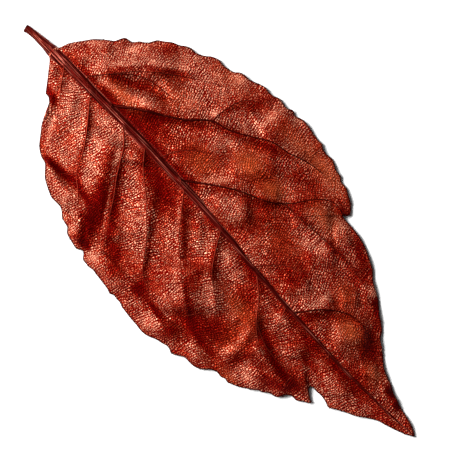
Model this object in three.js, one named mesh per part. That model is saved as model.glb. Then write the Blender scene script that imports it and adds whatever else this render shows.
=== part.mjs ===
// A dried broad leaf with its short stalk, lying on a flat surface: one closed solid, in millimetres, +Z up.
// The side with the raised veins is on top. The leaf's plan is drawn with x along the midrib, from the cut end
// of the stalk to the tip, and y to the left of it. The finished solid is then moved so that the origin is
// under the middle of its bounding box.
import * as THREE from 'three';

const leafLength = 120; // cut end of the stalk to the tip
const bladeStart = 8; // where the blade leaves the stalk
const bladeThickness = 0.42;
const rimThickness = 0.28; // the blade thins out at its margin
const archHeight = 5; // the midrib arches up between the stalk and the tip
const camber = 0.97; // the margins drop again by this share of the midrib's rise
const foldGain = 2; // every fold stands this many times its listed height

const stalkRings = 7;
const bladeRings = 104;
const halfColumns = 10; // columns on each half of the leaf
const ribColumns = 2; // of which this many carry the midrib
const edgeAngle = 0.08 * Math.PI; // where the stalk's oval ends on each side

// The stalk and midrib: x, y of the centre line, half width, rise above the blade, depth below it.
const ribStations = [
  [0, 0.05, 0.82, 0.72, 0.62],
  [3, 0.58, 0.68, 0.72, 0.64],
  [5.5, 0.76, 0.95, 0.82, 0.68],
  [8, 0.8, 1.3, 0.95, 0.7],
  [14, 1.1, 1, 1.05, 0.45],
  [30, 1.3, 0.78, 0.98, 0.3],
  [48, 1.25, 0.62, 0.84, 0.25],
  [62, 0.65, 0.46, 0.7, 0.23],
  [70, -0.1, 0.38, 0.64, 0.22],
  [84, -0.65, 0.32, 0.54, 0.21],
  [98, -1.05, 0.28, 0.46, 0.21],
  [110, -0.75, 0.24, 0.38, 0.21],
  [leafLength, 0, 0.12, 0.3, 0.2],
];

// The left margin, from the stalk to the tip: a plain base, a scalloped shoulder, a torn flap, a long slope.
const leftMargin = [
  [8, 2.1], [9, 4.6], [10.4, 6.8], [12, 8.9], [13.8, 10.6], [15.4, 11.9], [16.1, 13.6], [16.8, 14.1],
  [18, 14.4], [19.2, 15.8], [20.5, 16.7], [21.3, 18.4], [22.6, 19.4], [24, 20.5], [25.6, 21.2],
  [27, 22.3], [29.2, 22.6], [30.8, 23.5], [31.9, 24.5], [33.4, 25.1], [35.4, 25], [37.4, 25.6],
  [38.7, 26.6], [41, 26.9], [43, 27.7], [45, 28.1], [47, 28.2], [48.6, 28.8], [50.6, 28.3],
  [52.2, 29], [53, 28.6], [55.2, 29.2], [57.6, 29], [59.8, 28.7], [61.4, 28.5], [62.8, 27.9],
  [65, 27.9], [67, 27.3], [69, 26.7], [70.2, 26.1], [71.8, 25.9], [73.4, 25.1], [75, 24.2],
  [76.1, 23], [76.4, 22.1], [75.8, 21.4], [77.4, 21.1],
  [80, 20.9], [82.4, 20.4], [84.4, 19.8], [86.4, 18.9], [88.3, 17.9], [90.2, 16.3], [92.2, 15.3],
  [94.2, 14.1], [96.2, 12.5], [98.8, 10.6], [100, 9.1], [102, 7.7], [104.2, 5.9], [106, 5],
  [108.4, 4.1], [110, 3.2], [112.2, 2.6], [114.6, 1.9], [117.4, 1.2], [119, 0.6],
];

// The right margin: a base nipped in at two places, a long scalloped side, a torn flap, a short slope.
const rightMargin = [
  [8.4, -0.7], [10, -2.3], [11.4, -4], [12.8, -5.8], [13.5, -6.4], [14.5, -6.6], [15.8, -7.6],
  [17, -9.2], [17.3, -10.8], [18.4, -12.8], [20.2, -14.9], [21.6, -16], [24, -16.7], [25.4, -18],
  [26.6, -19.1], [28.4, -20.1], [30, -20.7], [33, -20.8], [34.6, -21.9], [36.8, -22.6],
  [37.8, -23.5], [39.6, -24.1], [41.9, -24.3], [42.7, -23.8], [44, -24.9], [46.6, -25.1],
  [50, -25.3], [53.2, -25.8], [54.4, -25.5], [56.2, -25.7], [58.6, -26.1], [61.6, -26.3],
  [64, -26.4], [66.2, -25.9], [68, -25.2], [69.8, -24.7], [71.4, -25.2], [72.8, -24.5],
  [74.2, -23.7], [76.8, -23.6], [78.6, -22.9], [80, -21.4], [82.4, -21], [84.2, -20.7],
  [86, -20], [88, -18.8], [89.8, -17.3], [92, -15.9], [93.8, -15.1], [94.4, -13.8],
  [95.4, -12.9], [97, -12.8], [98.2, -11.9], [99.6, -10.8], [98, -9.8], [96.6, -8.6], [98.6, -8.4],
  [101.4, -8.5], [102.6, -8.9], [104.2, -8.1], [106, -7.1], [108, -6], [110, -4.7], [111.6, -3.6],
  [114, -2.7], [116.4, -1.9], [118.6, -0.8],
];

// Folds of the dried blade: a crest line, a height, and how far the fold reaches down on the stalk's side
// and on the tip's side of its crest.
const folds = [
  // left half
  { crest: [[16, 3], [21, 8], [25.5, 13.5], [29, 19]], height: 0.9, stalkSide: 3.2, tipSide: 2.2 },
  { crest: [[19, 3.5], [25, 5.6], [30, 8.2], [34, 9.5]], height: 0.7, stalkSide: 1.8, tipSide: 3.2 },
  { crest: [[27, 4], [38, 11.8], [47, 16.5], [55, 21], [66, 24.5]], height: 0.5, stalkSide: 2.2, tipSide: 2 },
  { crest: [[35, 11], [38.5, 17], [42, 22], [43.5, 27]], height: 0.4, stalkSide: 3.5, tipSide: 2 },
  { crest: [[41, 3], [46, 8], [49, 14]], height: 0.4, stalkSide: 4.5, tipSide: 2.5 },
  { crest: [[51, 20], [52, 25], [53, 29]], height: 0.6, stalkSide: 3, tipSide: 3 },
  { crest: [[54, 2], [59, 4.8], [62, 8.5]], height: 0.9, stalkSide: 4, tipSide: 3 },
  { crest: [[51, 10], [56, 14.5], [59.5, 19]], height: 0.5, stalkSide: 4, tipSide: 2.5 },
  { crest: [[68, 13], [72, 16.5], [74.5, 20]], height: 0.7, stalkSide: 3, tipSide: 2.5 },
  { crest: [[76, 9], [78.5, 12.5], [80.5, 15]], height: 0.5, stalkSide: 3, tipSide: 2.5 },
  { crest: [[83.5, 0.5], [85.7, 4], [86.7, 8]], height: 0.5, stalkSide: 2.6, tipSide: 2 },
  { crest: [[92.5, 1.5], [95.5, 5], [98, 8]], height: 0.9, stalkSide: 3.4, tipSide: 2.4 },
  // right half
  { crest: [[12.5, -5.5], [15.5, -7.2], [17, -10], [18.5, -13.5]], height: 0.7, stalkSide: 3, tipSide: 1.8 },
  { crest: [[20, -1], [24.5, -5.2], [28, -11], [29, -13]], height: 0.4, stalkSide: 4, tipSide: 1.8 },
  { crest: [[29, -1], [33, -7], [37, -13], [41, -19]], height: 1, stalkSide: 4, tipSide: 2.8 },
  { crest: [[22, -15.5], [27, -17.2], [32, -17.5], [36, -17]], height: 0.9, stalkSide: 3, tipSide: 1.8 },
  { crest: [[36, 0.5], [38.5, -2.5]], height: 0.7, stalkSide: 3, tipSide: 5.5 },
  { crest: [[43, -3], [48, -9], [51, -13.5]], height: 0.5, stalkSide: 5, tipSide: 2 },
  { crest: [[38, -19.5], [40, -24]], height: 0.8, stalkSide: 2.8, tipSide: 2.6 },
  { crest: [[50, -1], [55, -6], [59, -10.5]], height: 0.5, stalkSide: 2.8, tipSide: 1.8 },
  { crest: [[51.5, -20], [52, -25]], height: 0.5, stalkSide: 2.2, tipSide: 5.5 },
  { crest: [[60, -1], [63, -5.5], [66, -8.8]], height: 0.5, stalkSide: 3, tipSide: 2.2 },
  { crest: [[59, -9.5], [64, -13.8], [68, -18]], height: 1.4, stalkSide: 5, tipSide: 4.5 },
  { crest: [[65, -20.5], [66.5, -25]], height: 0.8, stalkSide: 3, tipSide: 3.4 },
  { crest: [[76, -5], [79.2, -9.5], [80.3, -14.5], [79.5, -19.5]], height: 0.6, stalkSide: 1.8, tipSide: 2 },
  { crest: [[81, -10.5], [88, -12.2], [96, -12]], height: 0.8, stalkSide: 3, tipSide: 1.8 },
  { crest: [[86.5, -14], [88.5, -18.5]], height: 0.5, stalkSide: 2.6, tipSide: 2.6 },
];

function smoothStep(low, high, value) {
  const t = THREE.MathUtils.clamp((value - low) / (high - low), 0, 1);
  return t * t * (3 - 2 * t);
}

// A smooth curve through plan points.
function curveThrough(points) {
  return new THREE.CatmullRomCurve3(points.map(([x, y]) => new THREE.Vector3(x, y, 0)), false, 'centripetal');
}

// The stalk and midrib at x, blended between the stations around it.
function ribAt(x) {
  const next = Math.max(1, ribStations.findIndex(([stationX]) => stationX >= x));
  const [before, after] = [ribStations[next - 1], ribStations[next]];
  const t = smoothStep(before[0], after[0], x);
  const [, y, halfWidth, rise, depth] = before.map((value, i) => THREE.MathUtils.lerp(value, after[i], t));
  return { y, halfWidth, rise, depth };
}

const foldLines = folds.map(({ crest, ...profile }) => {
  const outwards = Math.sign(crest.at(-1)[1] - crest[0][1]);
  return { points: curveThrough(crest).getPoints(20), outwards, ...profile };
});

// Height that one fold adds at a plan point.
function foldHeight(line, x, y) {
  let nearest = Infinity;
  let side = 1;
  let along = 0;
  const last = line.points.length - 1;
  for (let i = 0; i < last; i++) {
    const start = line.points[i];
    const end = line.points[i + 1];
    const [runX, runY] = [end.x - start.x, end.y - start.y];
    const forward = ((x - start.x) * runX + (y - start.y) * runY) / (runX * runX + runY * runY);
    const t = THREE.MathUtils.clamp(forward, 0, 1);
    const [offX, offY] = [x - start.x - t * runX, y - start.y - t * runY];
    const distance = Math.hypot(offX, offY);
    if (distance < nearest) {
      nearest = distance;
      side = Math.sign(runX * offY - runY * offX);
      along = (i + t) / last;
    }
  }
  const reach = side === line.outwards ? line.stalkSide : line.tipSide;
  const endFade = smoothStep(0, 0.2, along) * smoothStep(0, 0.25, 1 - along);
  return line.height * endFade * Math.exp(-((nearest / reach) ** 2));
}

// Height of the blade's middle surface at a plan point, where out runs from 0 at the midrib to 1 at the margin.
// The stiff midrib keeps the folds off its own line.
function bladeHeight(x, y, out) {
  const middle = leafLength / 2;
  const arch = archHeight * Math.max(0, 1 - ((x - middle) / middle) ** 2) ** 1.2;
  const drop = camber * arch * out ** 1.8;
  const besideRib = smoothStep(0, 3.5, Math.abs(y - ribAt(x).y));
  const folded = foldLines.reduce((sum, line) => sum + foldHeight(line, x, y), 0);
  return arch - drop + foldGain * besideRib * folded;
}

const leftCurve = curveThrough([...leftMargin, [leafLength, 0]]);
const rightCurve = curveThrough([...rightMargin, [leafLength, 0]]);
leftCurve.arcLengthDivisions = rightCurve.arcLengthDivisions = 2000;

// A column of the stalk: a point on its oval, from the right side over the top to the left side.
function stalkColumn(x, rib, across) {
  const angle = THREE.MathUtils.lerp(Math.PI - edgeAngle, edgeAngle, (across + 1) / 2);
  return {
    x,
    y: rib.y + rib.halfWidth * Math.cos(angle) / Math.cos(edgeAngle),
    out: 0,
    above: rib.rise * Math.sin(angle),
    below: rib.depth * Math.sin(angle),
  };
}

// A column of the blade: the inner ones carry the half-round midrib, the outer ones run out to the margin
// in a row that leans forward and bows like the side veins.
function bladeColumn(x, rib, share, column) {
  const half = Math.sign(column);
  const onRib = Math.min(1, Math.abs(column) / ribColumns);
  const out = Math.max(0, Math.abs(column) - ribColumns) / (halfColumns - ribColumns);
  const foot = { x, y: rib.y + half * onRib * rib.halfWidth };
  const margin = (half < 0 ? rightCurve : leftCurve).getPointAt(share);
  const bow = 0.18 * out * (1 - out) * half;
  const [runX, runY] = [margin.x - foot.x, margin.y - foot.y];
  const halfThickness = THREE.MathUtils.lerp(bladeThickness, rimThickness, out ** 3) / 2;
  const round = Math.sqrt(1 - onRib ** 2);
  return {
    x: foot.x + out * runX - bow * runY,
    y: foot.y + out * runY + bow * runX,
    out,
    above: halfThickness + (rib.rise - halfThickness) * round,
    below: halfThickness + (rib.depth - halfThickness) * round,
  };
}

// One ring round the leaf: over the top from the right side to the left, and back below. The stalk's ring is
// its oval, which opens into the blade as soon as the margins part. Shares below 0 are on the stalk.
function leafRing(share) {
  const inBlade = Math.max(0, share);
  const rowLean = 0.4 * inBlade + 0.6 * inBlade ** 2;
  const x = share < 0 ? bladeStart * (1 + share) : bladeStart + (leafLength - bladeStart) * rowLean;
  const rib = ribAt(x);
  const opened = smoothStep(0, 0.018, inBlade);
  const top = [];
  const bottom = [];
  for (let column = -halfColumns; column <= halfColumns; column++) {
    const onStalk = stalkColumn(x, rib, column / halfColumns);
    const onBlade = opened > 0 ? bladeColumn(x, rib, inBlade, column) : onStalk;
    const [planX, planY, out, above, below] = ['x', 'y', 'out', 'above', 'below'].map(
      (key) => THREE.MathUtils.lerp(onStalk[key], onBlade[key], opened));
    const height = bladeHeight(planX, planY, out);
    top.push([planX, planY, height + above]);
    bottom.push([planX, planY, height - below]);
  }
  return [...top, ...bottom.reverse()];
}

// Joins the rings into one closed skin, with a fan over each end.
function loftRings(rings, firstPoint, lastPoint) {
  const size = rings[0].length;
  const last = (rings.length - 1) * size;
  const index = [];
  for (let k = 0; k < size; k++) {
    const next = (k + 1) % size;
    index.push(last + size, k, next);
    for (let start = 0; start < last; start += size) {
      const [a, b] = [start + k, start + next];
      index.push(a, b + size, b, a, a + size, b + size);
    }
    index.push(last + size + 1, last + next, last + k);
  }
  const geometry = new THREE.BufferGeometry();
  const positions = [...rings.flat(), firstPoint, lastPoint].flat();
  geometry.setAttribute('position', new THREE.Float32BufferAttribute(positions, 3));
  geometry.setIndex(index);
  return geometry;
}

function leafGeometry() {
  const shares = [];
  for (let i = 0; i < stalkRings; i++) shares.push(i / stalkRings - 1);
  for (let i = 0; i < bladeRings; i++) shares.push(0.995 * i / (bladeRings - 1));
  const cutMiddle = [0.12, ribAt(0).y, bladeHeight(0, 0, 0)];
  const tipPoint = [leafLength, 0, bladeHeight(leafLength, 0, 0)];
  const geometry = loftRings(shares.map(leafRing), cutMiddle, tipPoint);
  geometry.computeBoundingBox();
  const { min, max } = geometry.boundingBox;
  geometry.translate(-(min.x + max.x) / 2, -(min.y + max.y) / 2, -min.z);
  geometry.computeVertexNormals();
  return geometry;
}

const driedLeafSkin = new THREE.MeshStandardMaterial({ color: 0x84211a, roughness: 0.45, metalness: 0 });

const driedLeaf = new THREE.Group();
const leaf = new THREE.Mesh(leafGeometry(), driedLeafSkin);
leaf.name = 'leaf';
driedLeaf.add(leaf);

export default driedLeaf;
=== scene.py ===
# A dried broad leaf lying vein side up on a pale floor. Sizes in the dictionaries are in millimetres.
import math

import bpy
import numpy as np
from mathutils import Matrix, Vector
from mathutils.kdtree import KDTree


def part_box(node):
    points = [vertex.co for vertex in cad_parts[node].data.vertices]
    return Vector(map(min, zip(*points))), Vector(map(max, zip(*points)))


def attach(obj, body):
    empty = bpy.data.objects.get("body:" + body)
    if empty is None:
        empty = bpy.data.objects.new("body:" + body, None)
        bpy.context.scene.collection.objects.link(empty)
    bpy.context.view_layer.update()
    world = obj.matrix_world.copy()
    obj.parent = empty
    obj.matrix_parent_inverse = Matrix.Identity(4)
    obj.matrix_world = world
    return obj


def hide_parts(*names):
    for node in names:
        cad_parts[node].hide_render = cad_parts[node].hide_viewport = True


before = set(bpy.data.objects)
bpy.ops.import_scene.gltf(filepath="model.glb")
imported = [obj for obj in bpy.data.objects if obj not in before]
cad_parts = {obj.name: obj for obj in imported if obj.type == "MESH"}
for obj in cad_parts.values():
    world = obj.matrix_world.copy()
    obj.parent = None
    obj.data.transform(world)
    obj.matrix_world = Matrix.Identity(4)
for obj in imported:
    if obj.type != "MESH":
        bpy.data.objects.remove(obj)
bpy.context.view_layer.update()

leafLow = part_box("leaf")[0]
mm = 0.001
scene = bpy.context.scene

# The plan runs along x from the cut end of the stalk to the tip, with y to the left of the midrib.
blade = dict(
    length=120.0,
    start=8.0,            # where the blade leaves the stalk
    opened=0.018,         # share of the margin by which the stalk's oval has opened into the blade
    thickness=0.4,
    rimThickness=0.24,
    archHeight=5.0,       # rise of the midrib between stalk and tip
    archPower=1.2,
    camber=0.97,          # share of that rise by which the margins drop again
    camberPower=1.8,      # how late on the way out they drop
    foldGain=2.0,         # how strongly the folds stand up
    foldClear=3.0,        # the stiff midrib keeps them off its own line
    stalkRings=26,
    bladeRings=286,
    lastRing=0.996,       # the last ring stops just short of the tip
    ribColumns=13,
    sideColumns=54,       # columns from the rib to each margin
    rowBow=0.18,          # rows bow like the side veins
    rowLean=0.6,          # and lean forward towards the tip
    edgeAngle=0.08 * math.pi,     # where the stalk's oval ends on each side
    cutSlant=0.3,         # how far the stalk's cut leans
    cutReach=0.9,
    cutDepth=0.12,        # the middle of the cut has dried in a little
    planLowY=-26.45,      # the right margin's furthest point
    marginStep=0.2, foldStep=1.2, veinStep=0.6,     # spacing of the points along smoothed paths
    rippleHeight=0.2,     # the margin lifts and drops in waves
    rippleLength=6.4,
    rippleReach=1.7,
    grainLean=42.0,       # degrees: the grain runs along the side veins, which lean forward on both halves
    grainOffset=300.0,    # keeps the right half's grain apart from the left half's
)

# x, y of the centre line, half width, rise above the blade, depth below it
ribStations = np.array([
    (0, 0.05, 0.82, 0.72, 0.62), (1.2, 0.3, 0.78, 0.68, 0.6), (3, 0.55, 0.84, 0.7, 0.62),
    (5.5, 0.72, 1.04, 0.82, 0.68), (8, 0.8, 1.36, 0.95, 0.7), (14, 1.1, 1, 1.05, 0.45),
    (30, 1.3, 0.78, 0.98, 0.3), (48, 1.25, 0.62, 0.84, 0.25), (62, 0.65, 0.46, 0.7, 0.23),
    (70, -0.1, 0.38, 0.62, 0.22), (84, -0.65, 0.3, 0.52, 0.21), (98, -1.05, 0.26, 0.44, 0.21),
    (110, -0.75, 0.22, 0.36, 0.2), (120, 0, 0.12, 0.26, 0.16),
])

leftMargin = [
    (8, 2.1), (8.4, 3.3), (9, 4.6), (10, 6.1), (11, 7.5), (12, 8.9), (13, 9.9), (14, 10.8), (15, 11.6),
    (15.7, 12.3), (16, 13.4), (16.4, 14), (17.2, 14.15), (18, 14.4), (19, 15.6), (20, 16.3), (20.8, 17.2),
    (21.3, 18.4), (22.5, 19.3), (24, 20.5), (25.5, 21.2), (26.3, 21.9), (27.5, 22.5), (29, 22.6),
    (30.2, 23.1), (31, 23.7), (31.9, 24.5), (32.6, 24.8), (33.3, 25.1), (34, 25.05), (35, 25),
    (36, 25.15), (37.5, 25.6), (38.5, 26.5), (39.5, 26.8), (41, 26.9), (42, 27.3), (43.5, 27.9),
    (44.6, 28.2), (45.5, 28), (47, 28.2), (48.5, 28.8), (49.5, 28.6), (50.5, 28.3), (51.5, 28.8),
    (52.4, 29.05), (53, 28.6), (54, 28.9), (55, 29.2), (56.5, 29.15), (58, 28.95), (60, 28.6), (61.4, 28.6),
    (62.3, 28.1), (64, 27.8), (64.9, 28), (66.5, 27.5), (68, 26.8), (69, 26.8), (70, 26.1), (71.7, 25.9),
    (73, 25.2), (74.5, 24.5), (75.5, 23.7), (76.3, 22.7), (76.4, 22.1), (75.8, 21.7), (75.2, 21.35),
    (76, 21.15), (78, 21.05), (80, 20.9), (82, 20.6), (84, 20), (85.5, 19.3), (87, 18.6), (88.2, 18),
    (90, 16.4), (91, 15.8), (92.5, 15.1), (94, 14.2), (95, 13.3), (96, 12.5), (97.5, 11.6), (98.8, 10.6),
    (100, 9), (101.5, 8), (103, 6.9), (104.2, 5.9), (105, 5.3), (106, 4.9), (107, 4.5), (108.5, 4),
    (110, 3.2), (112, 2.6), (113.5, 2.1), (115.5, 1.7), (117.5, 1.2), (119, 0.6), (120, 0),
]
rightMargin = [
    (8.3, -0.7), (9.2, -1.5), (10, -2.3), (11, -3.5), (12, -4.8), (12.8, -5.8), (13.4, -6.4), (14.4, -6.5),
    (15.3, -7.2), (16.2, -8), (17, -9.2), (17.4, -10.2), (17.3, -10.9), (17.7, -11.7), (18.5, -12.9),
    (19.3, -13.9), (20.2, -14.9), (21.3, -15.8), (22.5, -16.4), (24, -16.7), (25, -17.6), (26.3, -18.9),
    (27.5, -19.6), (29, -20.3), (30, -20.7), (31.5, -20.7), (33, -20.8), (33.8, -21.3), (34.6, -22),
    (36, -22.4), (37, -22.6), (37.7, -23.4), (38.8, -23.9), (40, -24.2), (42, -24.3), (42.7, -23.7),
    (43.4, -24.1), (44.2, -25), (45.5, -25.1), (46.5, -25.15), (47.1, -24.95), (48, -25.1), (50, -25.3),
    (52.5, -25.6), (53.5, -25.9), (54, -25.5), (55, -25.6), (56.2, -25.6), (57, -25.9), (58.5, -26.1),
    (60, -26.3), (62, -26.35), (63.5, -26.5), (65, -26.35), (66, -26), (67, -25.5), (68.5, -25.1),
    (69.8, -24.7), (70.6, -24.85), (71.4, -25.2), (72.5, -24.7), (74, -23.7), (75.5, -23.7), (76.8, -23.6),
    (78, -23.1), (79, -22.3), (80, -21.3), (81, -20.9), (82.5, -21), (83.2, -20.6), (84, -20.8),
    (85, -20.4), (86.5, -19.7), (88, -18.7), (89, -18), (89.8, -17.2), (90.5, -17), (92, -15.9),
    (93.6, -15.4), (94, -14.9), (94.4, -14), (95.3, -13.1), (96, -12.9), (97, -12.9), (98, -12.1),
    (99.6, -10.85), (98.7, -10.4), (98, -9.9), (97.2, -9.3), (96.9, -8.65), (98.5, -8.45), (100.5, -8.4),
    (101.8, -8.7), (102.6, -9), (104, -8.2), (106, -7.1), (108, -6.1), (109.5, -5), (111, -4),
    (112, -3.4), (114, -2.7), (116, -2), (117.5, -1.4), (119, -0.6), (120, 0),
]

# crest points, height, reach on the stalk's side, reach on the tip's side
folds = [
    # left half
    ([(12, 3), (14.5, 7.5), (17, 11)], 0.6, 3, 1.8),
    ([(16, 3), (21, 8), (25.5, 13.5), (29, 19)], 0.9, 3.2, 2.2),
    ([(19, 3.5), (25, 5.6), (30, 8.2), (34, 9.5)], 0.7, 1.6, 3.2),
    ([(24, 12.5), (30, 13.5), (36, 13)], 0.5, 2, 1.6),
    ([(27, 4), (38, 11.8), (47, 16.5), (55, 21), (66, 24.5)], 0.5, 1.8, 1.6),
    ([(35, 11), (38.5, 17), (42, 22), (43.5, 27)], 0.35, 3.5, 2),
    ([(41, 3), (46, 8), (49, 14)], 0.4, 4.5, 2.5),
    ([(51, 20), (52, 25), (53, 29)], 0.6, 3, 3),
    ([(49, 3), (54, 7), (60, 11), (66, 14)], 0.4, 1.5, 1.2),
    ([(54, 2), (59, 4.8), (62, 8.5)], 0.9, 4, 3),
    ([(51, 10), (56, 14.5), (59.5, 19)], 0.45, 4, 2.5),
    ([(60, 11), (63, 15)], 0.5, 2, 2.5),
    ([(68, 13), (72, 16.5), (74.5, 20)], 0.7, 3, 2.5),
    ([(76, 9), (78.5, 12.5), (80.5, 15)], 0.5, 3, 2.5),
    ([(77, 17), (79.5, 20)], 0.4, 2.5, 2.8),
    ([(90.5, 12.5), (92.2, 15)], 0.4, 1.5, 1.5),
    ([(77, 1.5), (80, 4), (81, 7)], 0.5, 2.6, 2),
    ([(83.5, 0.5), (85.7, 4), (86.7, 8)], 0.5, 2.6, 1.8),
    ([(88, 8), (91, 11.5)], 0.4, 2.2, 1.6),
    ([(92.5, 1.5), (95.5, 5), (98, 8)], 0.9, 3.4, 2.4),
    ([(102, 1), (104.5, 4)], 0.4, 1.8, 1.6),
    ([(107.5, 1.5), (109, 3.6)], 0.3, 1.6, 1.4),
    ([(111.5, 0.8), (112.8, 2.4)], 0.2, 1.2, 1.2),
    # right half
    ([(10, -1), (13, -3.8), (15, -4.5)], 0.5, 2.5, 1.8),
    ([(12.5, -5.5), (15.5, -7.2), (17, -10), (18.5, -13.5)], 0.7, 3, 1.6),
    ([(17, -1.5), (20, -6), (21.5, -11), (23, -14)], 0.4, 2, 1.6),
    ([(20, -1), (24.5, -5.2), (28, -11), (29, -13)], 0.35, 4, 1.1),
    ([(29, -1), (33, -7), (37, -13), (41, -19)], 1, 4, 2.8),
    ([(22, -15.5), (27, -17.2), (32, -17.5), (36, -17)], 0.9, 3, 1.4),
    ([(36, 0.5), (38.5, -2.5)], 0.7, 3, 5.5),
    ([(43, -3), (48, -9), (51, -13.5)], 0.45, 5, 1.2),
    ([(38, -19.5), (40, -24)], 0.8, 2.8, 2.6),
    ([(44, -14.5), (45.3, -18)], 0.6, 1.4, 2.6),
    ([(46.8, -20), (48.3, -25)], 0.6, 2.8, 2.8),
    ([(50, -1), (55, -6), (59, -10.5)], 0.45, 2.8, 1.2),
    ([(54, -0.5), (58, -4), (61, -7.5)], 0.3, 1.8, 1),
    ([(51, -13), (54, -17), (56, -19.5)], 0.45, 2.2, 1.2),
    ([(51.5, -20), (52, -25)], 0.5, 2.2, 5.5),
    ([(60, -1), (63, -5.5), (66, -8.8)], 0.45, 3, 2),
    ([(65, 0), (68.5, -3)], 0.35, 4, 3.2),
    ([(64, -7.5), (69, -10), (72, -13)], 0.4, 2.6, 2.4),
    ([(59, -9.5), (64, -13.8), (68, -18)], 1.4, 5, 4.5),
    ([(65, -20.5), (66.5, -25)], 0.8, 3, 3.4),
    ([(76, -5), (79.2, -9.5), (80.3, -14.5), (79.5, -19.5)], 0.6, 1.4, 1.8),
    ([(75, -20), (76, -23.5)], 0.4, 2.5, 2.5),
    ([(82.5, -0.5), (84, -4)], 0.4, 2, 1.6),
    ([(86.5, 0), (88, -2.5)], 0.35, 1.6, 1.6),
    ([(88, -4), (90.5, -7)], 0.45, 2.2, 2.2),
    ([(81, -10.5), (88, -12.2), (96, -12)], 0.8, 3, 1.5),
    ([(86.5, -14), (88.5, -18.5)], 0.5, 2.6, 2.6),
    ([(99, -2), (103, -6)], 0.4, 3, 2.6),
]

# plan points from the midrib outwards, thickness at the midrib, how dark the vein is painted, as its dried
# colour and partly as painted shade
sideVeins = [
    ([(17, 2.4), (20, 6), (24, 11), (28, 14.5), (33, 18.5), (38, 21.5)], 0.34, 0.8),
    ([(20, 6), (24, 9.9), (30, 12), (35, 11.6)], 0.3, 0.9),
    ([(25, 1.9), (30, 5.7), (35, 8.9), (38, 11), (42, 14.8), (46, 16.2), (50, 18.5),
      (54, 21), (58, 22), (62, 23.5), (66, 24.3)], 0.62, 1),
    ([(42, 14.8), (42.2, 19), (44, 23.5), (47, 25.5), (50, 26.3)], 0.28, 0.7),
    ([(40.2, 2.2), (41.7, 5.3), (45, 8.7), (47, 10)], 0.26, 0.7),
    ([(46.5, 1.6), (50, 4.3), (53, 6.5), (56, 8.5), (60, 10.5), (62.5, 11.8), (66, 15),
      (68, 18), (70, 20.5), (73, 21.9), (75, 21.5)], 0.5, 1),
    ([(65, 13.9), (70, 14.2), (76, 14.8), (84, 15), (90, 14.3)], 0.3, 0.8),
    ([(70, 0.3), (75, 5.4), (81, 8)], 0.28, 0.6),
    ([(83, -0.3), (86.7, 4.5), (91.7, 7.8), (95, 8.3), (99, 7)], 0.42, 1),
    ([(94, -0.7), (97, 2), (100, 3)], 0.24, 0.5),
    ([(12, 0.5), (16, -4.5), (18.5, -6.5), (20, -9), (22, -12)], 0.26, 0.2),
    ([(20, 0.4), (24, -4), (26.5, -7), (28.5, -10), (30, -13), (33, -15.5), (37, -19)], 0.32, 0.1),
    ([(30, 0.6), (33, -2), (35, -5), (37, -8), (39, -10.5), (41, -13.5), (43, -16.5),
      (45, -19.3)], 0.32, 0.3),
    ([(36.5, 0.7), (40, -3), (44, -6), (48, -9.7), (50, -11.5), (52, -14), (55, -17.5),
      (60, -20)], 0.34, 0.4),
    ([(48.5, 0.6), (52, -3.5), (55, -7), (58, -9.5), (61, -12), (65, -15), (68, -17)], 0.32, 0.5),
    ([(60, 0.3), (62, -3), (65, -7), (69, -10), (71, -11.5), (72, -13)], 0.3, 0.5),
    ([(72, -0.7), (76, -4), (78, -6.5), (80, -8.5), (82, -10), (83, -13)], 0.28, 0.2),
    ([(81, -1), (83, -6)], 0.24, 0.3),
    ([(79, -7.4), (84, -9.5), (90, -10), (96, -10.5)], 0.26, 0.7),
]
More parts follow.
